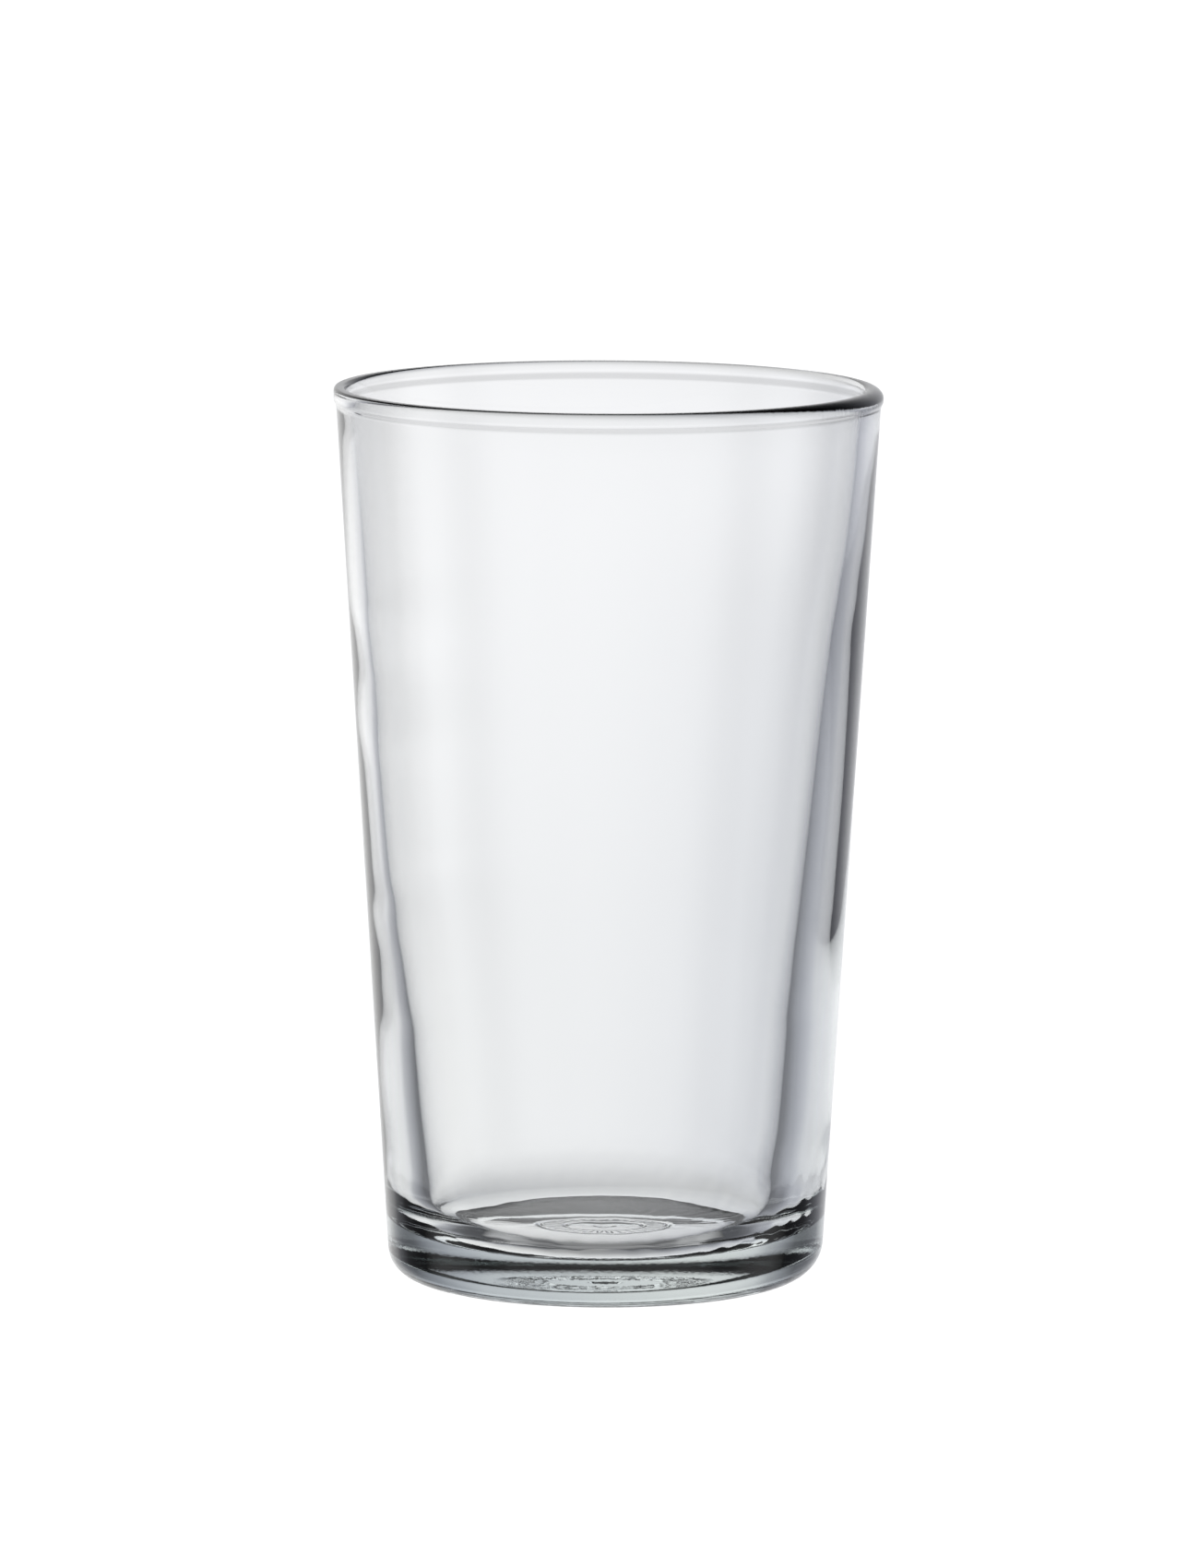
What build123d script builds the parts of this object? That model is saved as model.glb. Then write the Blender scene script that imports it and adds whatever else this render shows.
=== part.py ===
from build123d import *

import os

# Pint tumbler: one piece of pressed, toughened clear glass.
#
# A tapered wall stands on a thick base with a rounded heel. The rim is a fire-polished bead. The
# inside floor is a shallow bowl. The underside is slightly domed, so the glass rests on a flat ring,
# and the hollow carries raised rings and bars that keep the base from sticking to a wet bar.
#
# Millimetres, +Z up. The origin is the middle of the resting plane.

# Driving dimensions
RIM_RADIUS = 45.5  # outside of the bead, the widest point
HEIGHT = 148.65
BASE_RADIUS = 35.94  # where the outside wall, carried on past its heel, meets the resting plane

# Rim bead
BEAD_PROUD = 0.45  # how far the bead stands out from the wall below it
BEAD_HEIGHT = 3.2
BEAD_STEP = 1.0  # height of the slope from the wall out to the bead
RIM_THICKNESS = 2.75
RIM_ROUND_OUT = 1.75
RIM_ROUND_IN = 0.95
STEP_ROUND = 2.0

# Wall and base
WALL_TOP = 2.75  # wall thickness at the height of the bead's lower edge
WALL_BOTTOM = 7.25  # wall thickness at the height of the inside floor
FLOOR_HEIGHT = 8.3  # where the inside floor, carried on past its round corner, meets the wall
FLOOR_DISH = 0.8  # how much lower the middle of the floor lies
CORNER_ROUND = 8.0  # inside corner between the wall and the floor
HEEL_ROUND = 4.8

# Underside
RING_RADIUS = 30.0  # middle of the flat ring that the glass rests on
RING_WIDTH = 2.4
PUNT_DEPTH = 1.2  # hollow just inside the resting ring
PUNT_SLOPE = 2.0  # radial length of the slope between the ring and the hollow
PUNT_DOME = 0.5  # how much deeper the hollow is in the middle
PUNT_ROUND = 1.2

# Relief in the hollow: two rings, a row of short bars between them and a button
RELIEF_HEIGHT = 0.3
RELIEF_ROOT = 0.6  # how far the relief is sunk into the base, so that the two join
RING_RADII = (11.4, 7.0)
RIB_WIDTH = 0.8
BAR_COUNT = 30
BAR_INNER = 8.0
BAR_OUTER = 10.4
BUTTON_RADIUS = 1.9


def outside_radius(z):
    """Radius of the plain outside wall at height z."""
    neck_radius = RIM_RADIUS - BEAD_PROUD
    neck_height = HEIGHT - BEAD_HEIGHT
    return BASE_RADIUS + (neck_radius - BASE_RADIUS) * z / neck_height


def inside_radius(z):
    """Radius of the plain inside wall at height z."""
    top = HEIGHT - BEAD_HEIGHT
    share = (z - FLOOR_HEIGHT) / (top - FLOOR_HEIGHT)
    bottom_radius = outside_radius(FLOOR_HEIGHT) - WALL_BOTTOM
    top_radius = outside_radius(top) - WALL_TOP
    return bottom_radius + (top_radius - bottom_radius) * share


def section():
    """Half of the glass's cross-section in the XZ plane, with its corners rounded."""
    neck = (outside_radius(HEIGHT - BEAD_HEIGHT), HEIGHT - BEAD_HEIGHT)
    bead_foot = (RIM_RADIUS, neck[1] + BEAD_STEP)
    rim_out = (RIM_RADIUS, HEIGHT)
    rim_in = (RIM_RADIUS - RIM_THICKNESS, HEIGHT)
    heel = (BASE_RADIUS, 0)
    inside_top = (inside_radius(neck[1]), neck[1])
    floor_edge = (inside_radius(FLOOR_HEIGHT), FLOOR_HEIGHT)
    floor_middle = (0, FLOOR_HEIGHT - FLOOR_DISH)
    ring_inner = (RING_RADIUS - RING_WIDTH / 2, 0)
    punt_edge = (ring_inner[0] - PUNT_SLOPE, PUNT_DEPTH)
    punt_middle = (0, PUNT_DEPTH + PUNT_DOME)
    rounds = (
        (heel, HEEL_ROUND),
        (neck, STEP_ROUND),
        (bead_foot, STEP_ROUND),
        (rim_out, RIM_ROUND_OUT),
        (rim_in, RIM_ROUND_IN),
        (floor_edge, CORNER_ROUND),
        (punt_edge, PUNT_ROUND),
        (ring_inner, PUNT_ROUND),
    )
    with BuildSketch(Plane.XZ) as sketch:
        with BuildLine():
            TangentArc(punt_middle, punt_edge, tangent=(1, 0))
            Polyline(punt_edge, ring_inner, heel, neck, bead_foot, rim_out, rim_in)
            Polyline(rim_in, inside_top, floor_edge)
            TangentArc(floor_middle, floor_edge, tangent=(1, 0))
            Line(floor_middle, punt_middle)
        make_face()
        for corner, radius in rounds:
            fillet(sketch.vertices().sort_by_distance(corner)[0], radius)
    return sketch.sketch


def relief():
    """Raised rings, bars and button that stand down into the hollow under the base."""
    with BuildPart() as raised:
        with BuildSketch(Plane.XY.offset(PUNT_DEPTH + PUNT_DOME - RELIEF_HEIGHT)):
            for radius in RING_RADII:
                Circle(radius + RIB_WIDTH / 2)
                Circle(radius - RIB_WIDTH / 2, mode=Mode.SUBTRACT)
            Circle(BUTTON_RADIUS)
            with PolarLocations((BAR_INNER + BAR_OUTER) / 2, BAR_COUNT):
                SlotOverall(BAR_OUTER - BAR_INNER, RIB_WIDTH)
        extrude(amount=RELIEF_HEIGHT + RELIEF_ROOT)
    return raised.part


def tumbler():
    """The whole glass as one solid."""
    return revolve(section(), Axis.Z, 360) + relief()


def brim_capacity(glass):
    """Litres that the glass holds when it is full to the brim."""
    lip_radius = RIM_RADIUS - RIM_THICKNESS + RIM_ROUND_IN
    cover = Pos(0, 0, HEIGHT / 2) * Cylinder(lip_radius, HEIGHT)
    cavity = (cover - glass).solids().sort_by(SortBy.VOLUME)[-1]
    return cavity.volume / 1e6


def main():
    os.makedirs("parts", exist_ok=True)
    glass = tumbler()
    glass.label = "tumbler"
    export_step(glass, "parts/tumbler.step")
    print(f"capacity to the brim {brim_capacity(glass):.3f} litres")


main()
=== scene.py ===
"""Studio picture of a clear pint tumbler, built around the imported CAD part."""

import math
import random

import bmesh
import bpy
import numpy as np
from mathutils import Euler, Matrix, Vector

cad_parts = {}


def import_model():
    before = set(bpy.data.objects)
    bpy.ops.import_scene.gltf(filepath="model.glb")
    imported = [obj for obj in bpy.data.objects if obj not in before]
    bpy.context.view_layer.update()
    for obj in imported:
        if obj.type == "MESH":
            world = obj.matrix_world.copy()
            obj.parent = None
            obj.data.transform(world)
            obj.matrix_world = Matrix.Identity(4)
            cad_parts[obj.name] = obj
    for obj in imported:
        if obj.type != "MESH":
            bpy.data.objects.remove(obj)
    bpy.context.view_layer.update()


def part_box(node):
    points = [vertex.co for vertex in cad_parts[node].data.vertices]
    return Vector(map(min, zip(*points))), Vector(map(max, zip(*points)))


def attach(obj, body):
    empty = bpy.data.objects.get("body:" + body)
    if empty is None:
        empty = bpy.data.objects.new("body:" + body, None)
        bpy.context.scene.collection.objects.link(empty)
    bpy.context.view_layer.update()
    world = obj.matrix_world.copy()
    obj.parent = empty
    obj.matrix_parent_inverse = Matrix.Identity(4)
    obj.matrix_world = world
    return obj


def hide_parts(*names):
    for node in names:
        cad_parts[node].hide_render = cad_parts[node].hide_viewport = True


MM = 0.001

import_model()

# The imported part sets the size. The values below follow its section, apart from the heel's round
lowest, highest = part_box("tumbler")
RIM_RADIUS = min(-lowest[0], -lowest[1], highest[0], highest[1])
HEIGHT = highest[2]

# Rim bead
BEAD_PROUD = 0.45 * MM
BEAD_HEIGHT = 3.2 * MM
BEAD_STEP = 1.0 * MM
RIM_THICKNESS = 2.75 * MM
RIM_ROUND_OUT = 1.75 * MM
RIM_ROUND_IN = 0.95 * MM
STEP_ROUND = 2.0 * MM
NECK = HEIGHT - BEAD_HEIGHT  # height at which the bead starts

# Wall and base
BASE_RADIUS = 35.94 * MM
HEEL_ROUND = 3.8 * MM  # before it is made larger towards both sides
WALL_TOP = 2.75 * MM
WALL_BOTTOM = 7.25 * MM
INSIDE_ROUND = 6 * MM  # on the inside wall, level with the foot of the bead
FLOOR_HEIGHT = 8.3 * MM
FLOOR_DISH = 0.8 * MM
FLOOR_RADIUS = 27 * MM  # the dish ends here
CORNER_ROUND = 8.0 * MM

# Underside
RING_RADIUS = 30.0 * MM
RING_WIDTH = 2.4 * MM
PUNT_DEPTH = 1.2 * MM  # hollow inside the resting ring
PUNT_SLOPE = 2.0 * MM  # radial length of the slope between the ring and the hollow
PUNT_ROUND = 1.2 * MM
PUNT_DOME = 0.5 * MM  # how much deeper the hollow is in the middle
PUNT_RADIUS = RING_RADIUS - RING_WIDTH / 2 - PUNT_SLOPE

# Longest edges of the mesh, up the section
UNDER_EDGE = 0.4 * MM
OUTSIDE_EDGE = 4 * MM
INSIDE_EDGE = 1.2 * MM

# Relief under the base: two rings, a row of short bars between them and a button
RELIEF_HEIGHT = 0.3 * MM
RELIEF_EDGE = 0.15 * MM  # width of its sloping sides
OUTER_RING = 11.4 * MM
INNER_RING = 7.0 * MM
RING_HALF = 0.35 * MM
BAR_COUNT = 30
BAR_HALF = 0.35 * MM
BAR_INNER = 8.0 * MM
BAR_OUTER = 10.4 * MM
BUTTON_RADIUS = 1.8 * MM

# Unevenness left by the mould
FLOOR_TILT = 0.038  # slope of the inside floor, up towards the back
TILT_REACH = 25 * MM  # the tilt fades out this far above the floor
LIP_LEFT = 0.4  # size of the rim's outer round at the far left, as a share of that at the far right
HEEL_LEFT = 0.3  # share by which the heel's round is larger at the far left
HEEL_RIGHT = 0.63  # and at the far right
WAVE = 0.02 * MM  # height of the waves in the base
WAVE_REACH = 13 * MM  # they fade out this far above the floor
WAVE_TURN = 6.283  # radians in a turn, as rounded when the waves were settled
EXTRA_POWER = 4  # how closely the extra thickness keeps to the far left and right
DRIFT_POWER = 12  # and how closely its growth towards the back does

# Wall thickness beyond the even wall's, at the far left and the far right: (share of the height, mm)
LEFT_EXTRA = (
    (0.06, 0.0),
    (0.12, 0.1),
    (0.19, 0.0),
    (0.27, -0.05),
    (0.34, -0.3),
    (0.42, -0.75),
    (0.51, -0.8),
    (0.64, -0.6),
    (0.72, -0.5),
    (0.86, -0.3),
    (0.95, -0.4),
    (1.0, -0.8),
)
RIGHT_EXTRA = (
    (0.06, 1.0),
    (0.12, 1.3),
    (0.18, 1.1),
    (0.26, 1.2),
    (0.35, 1.45),
    (0.43, 1.33),
    (0.51, 1.2),
    (0.64, 1.05),
    (0.71, 0.85),
    (0.77, 0.5),
    (0.83, 0.25),
    (0.90, 0.2),
    (0.95, 0.3),
    (1.0, 0.5),
)
# How fast it grows towards the back there, the same way: thicker just behind, thinner just in front
LEFT_DRIFT = (
    (0.28, 0.0),
    (0.32, 0.4),
    (0.38, 0.4),
    (0.42, 0.15),
    (0.46, 0.8),
    (0.58, 0.75),
    (0.63, 0.15),
    (0.67, 0.3),
    (0.70, 0.65),
    (0.73, 0.55),
    (0.77, 0.0),
)
RIGHT_DRIFT = (
    (0.30, 0.0),
    (0.35, 0.4),
    (0.50, 0.35),
    (0.70, 0.3),
    (0.77, 0.15),
    (0.83, 0.2),
    (0.90, 0.2),
    (0.96, 0.0),
)

# Directions round the axis, counter-clockwise from +X
SEGMENTS = 320
ANGLES = np.arange(SEGMENTS) * 2 * math.pi / SEGMENTS
COS = np.cos(ANGLES)
SIN = np.sin(ANGLES)
TO_LEFT = (1 - COS) / 2  # 1 at the far left, 0 at the far right
TO_RIGHT = (1 + COS) / 2  # the other way round
ROUGH = 0.4 + 1.6 * TO_RIGHT**2 + 0.5 * TO_LEFT**2  # the sides are wavier than the front

# Finish: chill marks low down
MARKS_TOP = 15 * MM  # none above this height
MARKS_FULL = 5 * MM  # in full below this one
MARKS_STRENGTH = 0.5  # as a share of the rim's grain
MARKS_DEPTH = 0.012 * MM
MARKS_SCALE = 1400  # cells per metre

# Finish: fine grain on the rim, at the right
GRAIN_FOOT = HEIGHT - 6 * MM  # none below this height
GRAIN_FULL = HEIGHT - 2 * MM
GRAIN_START = 8 * MM  # none further left than this
GRAIN_END = 30 * MM  # in full further right than this

# Finish: scuffs on the resting ring
WEAR_TOP = 2.5 * MM
WEAR_FULL = 0.5 * MM
SCUFF_SCALE = 900  # cells per metre
SCUFF_RANGE = (0.45, 0.65)  # of the noise, from untouched to scuffed
SCUFF_ROUGHNESS = 0.12

# The glass and the floor
REFRACTION = 1.52
DEPTH_COLOUR = (0.84, 0.89, 0.885, 1)
DEPTH_DENSITY = 20  # per metre
FLOOR_BRIGHTNESS = 1.1
FLOOR_REACH = 9  # metres from its middle to its sides

# The camera, in rim radii from the middle of the resting plane
CAMERA_AT = (-0.0277, -41.496, 7.4433)
CAMERA_DOWN = 0.1349  # radians below the horizon
CAMERA_ROLL = 0.0039  # radians
CAMERA_LENS = 263.43  # focal length in mm on a 36 mm sensor


def outside_radius(z):
    """Radius of the plain outside wall at height z."""
    return BASE_RADIUS + (RIM_RADIUS - BEAD_PROUD - BASE_RADIUS) * z / NECK


def inside_radius(z):
    """Radius of the plain inside wall at height z."""
    share = (z - FLOOR_HEIGHT) / (NECK - FLOOR_HEIGHT)
    bottom = outside_radius(FLOOR_HEIGHT) - WALL_BOTTOM
    return bottom + (outside_radius(NECK) - WALL_TOP - bottom) * share


def smooth(stations, x):
    """Value at x on the smooth curve through the stations, flat beyond both ends."""
    xs = [station[0] for station in stations]
    ys = [station[1] for station in stations]
    if x <= xs[0]:
        return ys[0]
    if x >= xs[-1]:
        return ys[-1]
    slopes = [0.0]
    for i in range(1, len(xs) - 1):
        slopes.append((ys[i + 1] - ys[i - 1]) / (xs[i + 1] - xs[i - 1]))
    slopes.append(0.0)
    i = max(k for k in range(len(xs) - 1) if xs[k] <= x)
    run = xs[i + 1] - xs[i]
    t = (x - xs[i]) / run
    from_start = (1 + 2 * t) * (1 - t) ** 2 * ys[i] + t * (1 - t) ** 2 * run * slopes[i]
    from_end = t * t * (3 - 2 * t) * ys[i + 1] + t * t * (t - 1) * run * slopes[i + 1]
    return from_start + from_end


def rounded(before, corner, after, radius, step=math.radians(7)):
    """Points of the arc that rounds the corner between the runs to its two neighbours."""
    back = (before - corner).normalized()
    ahead = (after - corner).normalized()
    half = back.angle(ahead) / 2
    run = radius / math.tan(half)
    centre = corner + (back + ahead).normalized() * math.hypot(run, radius)
    arm = corner + back * run - centre
    turn = arm.angle_signed(corner + ahead * run - centre)
    count = max(3, round(abs(turn) / step))
    arms = []
    for i in range(count + 1):
        c = math.cos(turn * i / count)
        s = math.sin(-turn * i / count)
        arms.append(centre + Vector((arm.x * c - arm.y * s, arm.x * s + arm.y * c)))
    return arms


def divided(points, longest):
    """The points after the first, with every longer run between them divided."""
    out = []
    for a, b in zip(points, points[1:]):
        count = max(1, math.ceil((b - a).length / longest - 0.01))
        out += [a.lerp(b, i / count) for i in range(1, count + 1)]
    return out


def profile():
    """The half section from the middle of the underside round to the middle of the floor,
    as the points below the glass, those outside it and those inside it."""
    corners = (
        (0, PUNT_DEPTH, 0),
        (PUNT_RADIUS, PUNT_DEPTH, PUNT_ROUND),
        (PUNT_RADIUS + PUNT_SLOPE, 0, PUNT_ROUND),
        (BASE_RADIUS, 0, HEEL_ROUND),
        (outside_radius(NECK), NECK, STEP_ROUND),
        (RIM_RADIUS, NECK + BEAD_STEP, STEP_ROUND),
        (RIM_RADIUS, HEIGHT, RIM_ROUND_OUT),
        (RIM_RADIUS - RIM_THICKNESS, HEIGHT, RIM_ROUND_IN),
        (inside_radius(NECK), NECK, INSIDE_ROUND),
        (inside_radius(FLOOR_HEIGHT), FLOOR_HEIGHT, CORNER_ROUND),
        (0, FLOOR_HEIGHT, 0),
    )
    arcs = [[Vector(corners[0][:2])]]
    for before, here, after in zip(corners, corners[1:], corners[2:]):
        arcs.append(rounded(Vector(before[:2]), Vector(here[:2]), Vector(after[:2]), here[2]))
    arcs.append([Vector(corners[-1][:2])])
    under = divided(sum(arcs[:3], []), UNDER_EDGE)
    outside = divided([under[-1]] + sum(arcs[3:6], []), OUTSIDE_EDGE)
    inside = divided([outside[-1]] + sum(arcs[6:], []), INSIDE_EDGE)
    return under, outside, inside[:-1]


def ripples(seed, waves, around, upward):
    """A seeded random surface between about -1 and 1, by angle and by distance in metres;
    around and upward are the ranges of wave numbers per turn and per metre."""
    dice = random.Random(seed)
    terms = []
    for _ in range(waves):
        turns = dice.randint(*around)
        lengths = dice.uniform(*upward) * dice.choice((-1, 1))
        terms.append((turns, lengths, dice.uniform(0, 6.3)))

    def height(angle, distance):
        total = sum(np.cos(m * angle + WAVE_TURN * k * distance + phase) for m, k, phase in terms)
        return total / math.sqrt(waves)

    return height


chill = ripples(seed=7, waves=18, around=(5, 48), upward=(60, 400))


def bump(distance, half, edge):
    """1 within half of the middle, falling smoothly to 0 over the edge."""
    t = np.clip((half + edge - np.abs(distance)) / edge, 0, 1)
    return t * t * (3 - 2 * t)


def relief(r, angle):
    """How far the mark under the base stands out."""
    rings = bump(r - OUTER_RING, RING_HALF, RELIEF_EDGE) + bump(r - INNER_RING, RING_HALF, RELIEF_EDGE)
    pitch = 2 * math.pi / BAR_COUNT
    aside = r * ((angle + pitch / 2) % pitch - pitch / 2)
    middle = (BAR_INNER + BAR_OUTER) / 2
    bars = bump(aside, BAR_HALF, RELIEF_EDGE) * bump(r - middle, (BAR_OUTER - BAR_INNER) / 2, RELIEF_EDGE)
    return RELIEF_HEIGHT * (rings + bars + bump(r, BUTTON_RADIUS, RELIEF_EDGE))


def fade(z, reach):
    """1 at the inside floor and 0 beyond that reach above it."""
    return np.clip(1 - (z - FLOOR_HEIGHT) / reach, 0, 1)


def towards_sides(at_left, at_right, share, power):
    """Thickness by direction, from its stations in mm at the far left and the far right."""
    return smooth(at_left, share) * MM * TO_LEFT**power + smooth(at_right, share) * MM * TO_RIGHT**power


def wall_extra(share):
    """Extra thickness of the wall inside, by direction, at a share of the height."""
    sideways = towards_sides(LEFT_EXTRA, RIGHT_EXTRA, share, EXTRA_POWER)
    drift = towards_sides(LEFT_DRIFT, RIGHT_DRIFT, share, DRIFT_POWER)
    return sideways + SIN * drift


def underside_rows(points):
    """Radius and height by direction of the domed underside, with its mark and slight waves."""
    rows = []
    for p in points:
        dome = PUNT_DOME * max(0, 1 - (p.x / PUNT_RADIUS) ** 2)
        wave = WAVE * ROUGH * chill(ANGLES, p.x) * (p.x / RING_RADIUS) ** 4
        z = p.y + dome - relief(p.x, ANGLES) + wave
        rows.append((np.full(SEGMENTS, p.x), np.maximum(z, 0)))
    return rows


def outside_rows(points):
    """Radius and height by direction of the outside, with a heel that is rounder at both sides."""
    larger = 1 + HEEL_LEFT * TO_LEFT**3 + HEEL_RIGHT * TO_RIGHT**3
    rows = []
    for p in points:
        grow = larger if p.y < HEEL_ROUND else np.ones(SEGMENTS)
        rows.append((BASE_RADIUS + (p.x - BASE_RADIUS) * grow, p.y * grow))
    return rows


def inside_rows(points):
    """Radius and height by direction of the rim, the uneven inside wall and the leaning floor."""
    lip = 1 - (1 - LIP_LEFT) * TO_LEFT
    rows = []
    for p in points:
        inner = inside_radius(max(p.y, FLOOR_HEIGHT))
        outer = np.interp(p.y, (0, NECK, NECK + BEAD_STEP), (BASE_RADIUS, outside_radius(NECK), RIM_RADIUS))
        share = min(1, p.x / inner, (outer - p.x) / (outer - inner))  # none on the axis or outside
        r = p.x - wall_extra(p.y / HEIGHT) * share
        z = p.y - FLOOR_DISH * max(0, 1 - (p.x / FLOOR_RADIUS) ** 3)
        on_outer_round = min(p.x - RIM_RADIUS, p.y - HEIGHT) > -RIM_ROUND_OUT - 1e-6
        if on_outer_round:
            r = RIM_RADIUS + (r - RIM_RADIUS) * lip
            z = HEIGHT + (z - HEIGHT) * lip
        lean = FLOOR_TILT * fade(p.y, TILT_REACH) * SIN * p.x
        wave = WAVE * ROUGH * fade(p.y, WAVE_REACH) * min(1, p.x / inner) ** 2 * chill(ANGLES, p.y)
        rows.append((r - wave, z + lean + wave))
    return rows


def closed_mesh(name, rows, bottom, top):
    """Mesh through the rows of points round the axis, closed by a point on the axis at each end."""
    verts = [(0, 0, bottom)]
    for r, z in rows:
        verts += list(zip(r * COS, r * SIN, z))
    verts.append((0, 0, top))
    last_row = len(verts) - 1 - SEGMENTS
    faces = []
    for i in range(SEGMENTS):
        j = (i + 1) % SEGMENTS
        faces.append((0, 1 + j, 1 + i))
        for row in range(1, last_row, SEGMENTS):
            following = row + SEGMENTS
            faces.append((row + i, row + j, following + j, following + i))
        faces.append((last_row + i, last_row + j, len(verts) - 1))
    mesh = bpy.data.meshes.new(name)
    mesh.from_pydata(verts, [], faces)
    mesh.validate()
    mesh.shade_smooth()
    return mesh


def tumbler():
    """The glass: one closed body."""
    under, outside, inside = profile()
    rows = underside_rows(under) + outside_rows(outside) + inside_rows(inside)
    bottom = PUNT_DEPTH + PUNT_DOME - RELIEF_HEIGHT
    mesh = closed_mesh("tumbler_glass", rows, bottom, FLOOR_HEIGHT - FLOOR_DISH)
    obj = bpy.data.objects.new("tumbler_glass", mesh)
    bpy.context.scene.collection.objects.link(obj)
    mesh.materials.append(glass_material())
    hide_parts("tumbler")
    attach(obj, "root")


def smooth_range(tree, value, low, high):
    """0 below low, 1 above high and smooth between."""
    node = tree.nodes.new("ShaderNodeMapRange")
    node.interpolation_type = "SMOOTHSTEP"
    node.inputs["From Min"].default_value = low
    node.inputs["From Max"].default_value = high
    tree.links.new(value, node.inputs["Value"])
    return node.outputs["Result"]


def calculated(tree, operation, a, b=0.0):
    """Result of a math node; b is a socket or a number."""
    node = tree.nodes.new("ShaderNodeMath")
    node.operation = operation
    tree.links.new(a, node.inputs[0])
    if isinstance(b, float):
        node.inputs[1].default_value = b
    else:
        tree.links.new(b, node.inputs[1])
    return node.outputs[0]


def noise(tree, coords, scale, detail):
    """Fractal noise between 0 and 1."""
    node = tree.nodes.new("ShaderNodeTexNoise")
    node.inputs["Scale"].default_value = scale
    node.inputs["Detail"].default_value = detail
    tree.links.new(coords, node.inputs["Vector"])
    return node.outputs[0]


def rough_normal(tree, height, strength, distance):
    """Surface direction bumped by a height."""
    node = tree.nodes.new("ShaderNodeBump")
    node.inputs["Distance"].default_value = distance
    tree.links.new(height, node.inputs["Height"])
    tree.links.new(strength, node.inputs["Strength"])
    return node.outputs["Normal"]


def marked_normal(tree, coords, x, z):
    """Surface direction, with chill marks low down and grain on the rim at the right."""
    low = calculated(tree, "MULTIPLY", smooth_range(tree, z, MARKS_TOP, MARKS_FULL), MARKS_STRENGTH)
    rim = smooth_range(tree, z, GRAIN_FOOT, GRAIN_FULL)
    right_rim = calculated(tree, "MULTIPLY", smooth_range(tree, x, GRAIN_START, GRAIN_END), rim)
    marks = calculated(tree, "MAXIMUM", low, right_rim)
    return rough_normal(tree, noise(tree, coords, MARKS_SCALE, 3), marks, MARKS_DEPTH)


def scuffed_roughness(tree, coords, z):
    """Roughness of the scuffs on the resting ring, and 0 elsewhere."""
    wear = smooth_range(tree, z, WEAR_TOP, WEAR_FULL)
    patches = smooth_range(tree, noise(tree, coords, SCUFF_SCALE, 4), *SCUFF_RANGE)
    return calculated(tree, "MULTIPLY", calculated(tree, "MULTIPLY", patches, wear), SCUFF_ROUGHNESS)


def glass_material():
    """Clear soda-lime glass: marked low down and on the rim, worn below, tinted in its depth."""
    mat = bpy.data.materials.new("clear_glass")
    mat.use_nodes = True
    tree = mat.node_tree
    link = tree.links.new
    shader = tree.nodes["Principled BSDF"]
    shader.inputs["Base Color"].default_value = (1, 1, 1, 1)
    shader.inputs["IOR"].default_value = REFRACTION
    shader.inputs["Transmission Weight"].default_value = 1
    coords = tree.nodes.new("ShaderNodeTexCoord").outputs["Object"]
    split = tree.nodes.new("ShaderNodeSeparateXYZ")
    link(coords, split.inputs[0])
    x = split.outputs["X"]
    z = split.outputs["Z"]
    link(marked_normal(tree, coords, x, z), shader.inputs["Normal"])
    link(scuffed_roughness(tree, coords, z), shader.inputs["Roughness"])
    depth = tree.nodes.new("ShaderNodeVolumeAbsorption")
    depth.inputs["Color"].default_value = DEPTH_COLOUR
    depth.inputs["Density"].default_value = DEPTH_DENSITY
    link(depth.outputs["Volume"], tree.nodes["Material Output"].inputs["Volume"])
    return mat


def floor_material():
    """Even white, whatever the light."""
    mat = bpy.data.materials.new("floor")
    mat.use_nodes = True
    nodes = mat.node_tree.nodes
    nodes.clear()
    out = nodes.new("ShaderNodeOutputMaterial")
    emit = nodes.new("ShaderNodeEmission")
    emit.inputs["Strength"].default_value = FLOOR_BRIGHTNESS
    mat.node_tree.links.new(emit.outputs[0], out.inputs[0])
    return mat


def floor():
    """Plain floor. The glass shows the world below the horizon in its place."""
    mesh = bpy.data.meshes.new("floor")
    bm = bmesh.new()
    bmesh.ops.create_grid(bm, x_segments=1, y_segments=1, size=FLOOR_REACH)
    bm.to_mesh(mesh)
    bm.free()
    obj = bpy.data.objects.new("floor", mesh)
    bpy.context.scene.collection.objects.link(obj)
    mesh.materials.append(floor_material())
    obj.visible_transmission = False
    obj.visible_glossy = False


def ramp(tree, value, stops):
    """Colour by value; each stop is (value, colour)."""
    low, high = stops[0][0], stops[-1][0]
    unit = tree.nodes.new("ShaderNodeMapRange")
    unit.inputs["From Min"].default_value = low
    unit.inputs["From Max"].default_value = high
    node = tree.nodes.new("ShaderNodeValToRGB")
    tree.links.new(value, unit.inputs["Value"])
    tree.links.new(unit.outputs["Result"], node.inputs["Fac"])
    elements = node.color_ramp.elements
    while len(elements) < len(stops):
        elements.new(0.5)
    for element, (at, colour) in zip(elements, stops):
        element.position = (at - low) / (high - low)
        element.color = (*colour, 1)
    return node.outputs["Color"]


def mixed(tree, blend, a, b):
    """Two colours blended in full."""
    node = tree.nodes.new("ShaderNodeMix")
    node.data_type = "RGBA"
    node.blend_type = blend
    node.inputs["Factor"].default_value = 1
    tree.links.new(a, node.inputs["A"])
    tree.links.new(b, node.inputs["B"])
    return node.outputs["Result"]


def grey(value, blue=0.0):
    """Grey of that brightness, with a share of blue."""
    return (value * (1 - blue), value * (1 - 0.8 * blue), value)


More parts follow.
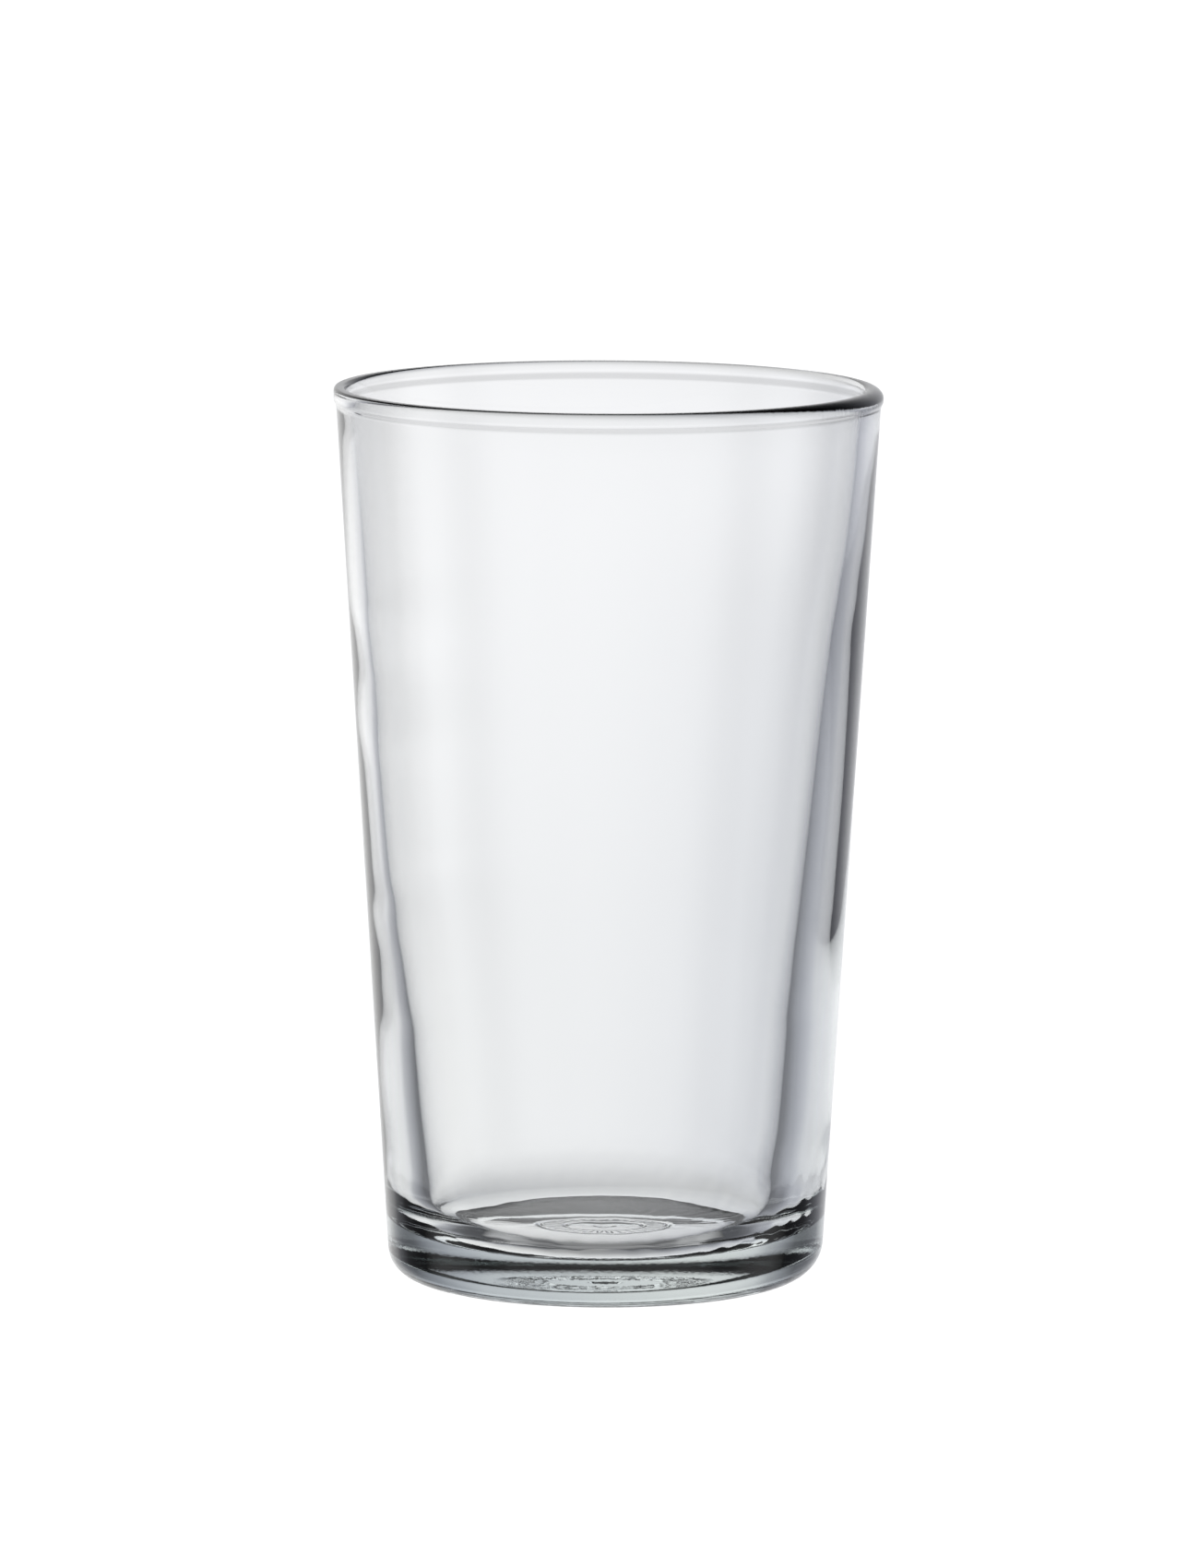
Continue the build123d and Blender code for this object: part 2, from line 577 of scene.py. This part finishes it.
# Brightness of the studio's panels behind the glass, by azimuth from +Y, positive to the right
BEHIND = (
    (-60, grey(0.12, 0.1)),
    (-50, grey(0.18, 0.1)),
    (-43, grey(0.42, 0.1)),
    (-38, grey(0.58, 0.07)),
    (-33, grey(0.9, 0.03)),
    (-28, grey(0.99, 0.01)),
    (-20, grey(1.05)),
    (-14, grey(1.05)),
    (-8, grey(1.0, 0.01)),
    (0, grey(0.96, 0.02)),
    (8, grey(0.9, 0.04)),
    (15, grey(0.87, 0.05)),
    (24, grey(0.81, 0.06)),
    (30, grey(0.67, 0.1)),
    (38, grey(0.5, 0.12)),
    (44, grey(0.38, 0.13)),
    (51, grey(0.19, 0.13)),
    (60, grey(0.13, 0.13)),
)
# and of those at both sides and in front, by azimuth to either side
ELSEWHERE = (
    (66, grey(0.0)),
    (80, grey(0.66, 0.03)),
    (90, grey(0.78, 0.02)),
    (99, grey(0.66, 0.03)),
    (108, grey(0.35, 0.05)),
    (117, grey(0.35, 0.05)),
    (127, grey(0.66, 0.03)),
    (142, grey(0.76, 0.02)),
    (180, grey(0.78, 0.02)),
)
# Share of that brightness by elevation above the horizon
UPWARD = (
    (-90, grey(0.5)),
    (-78, grey(0.28)),
    (-60, grey(0.38)),
    (-45, grey(0.65)),
    (-33, grey(0.78)),
    (-25, grey(0.88)),
    (-18, grey(0.93)),
    (-14, grey(0.95)),
    (-11, grey(0.97)),
    (-8.5, grey(1.04)),
    (-6, grey(1.0)),
    (-4, grey(0.95)),
    (-1, grey(0.82)),
    (5, grey(0.8)),
    (10, grey(0.78)),
    (17, grey(0.72)),
    (24, grey(0.5)),
    (32, grey(0.22)),
    (45, grey(0.09)),
    (70, grey(0.05)),
    (90, grey(0.05)),
)


def world():
    """Brightness by direction: that of the azimuth times that of the elevation."""
    studio = bpy.data.worlds.new("studio")
    bpy.context.scene.world = studio
    studio.use_nodes = True
    tree = studio.node_tree
    link = tree.links.new
    coords = tree.nodes.new("ShaderNodeTexCoord")
    split = tree.nodes.new("ShaderNodeSeparateXYZ")
    link(coords.outputs["Generated"], split.inputs[0])
    turn = calculated(tree, "ARCTAN2", split.outputs["X"], split.outputs["Y"])
    azimuth = calculated(tree, "DEGREES", turn)
    elevation = calculated(tree, "DEGREES", calculated(tree, "ARCSINE", split.outputs["Z"]))
    behind = ramp(tree, azimuth, BEHIND)
    elsewhere = ramp(tree, calculated(tree, "ABSOLUTE", azimuth), ELSEWHERE)
    around = mixed(tree, "LIGHTEN", behind, elsewhere)
    light = mixed(tree, "MULTIPLY", around, ramp(tree, elevation, UPWARD))
    link(light, tree.nodes["Background"].inputs["Color"])


def camera():
    """A long lens from slightly above, as in the picture."""
    data = bpy.data.cameras.new("camera")
    data.sensor_width = 36
    data.lens = CAMERA_LENS
    data.clip_start = 0.1
    data.clip_end = 30
    obj = bpy.data.objects.new("camera", data)
    bpy.context.scene.collection.objects.link(obj)
    obj.location = Vector(CAMERA_AT) * RIM_RADIUS
    obj.rotation_euler = Euler((math.pi / 2 - CAMERA_DOWN, 0, 0))
    obj.rotation_euler.rotate_axis("Z", CAMERA_ROLL)
    bpy.context.scene.camera = obj


def main():
    """The whole scene: the glass, the floor, the world and the camera."""
    tumbler()
    floor()
    world()
    camera()
    bpy.context.scene.view_settings.view_transform = "Standard"


main()
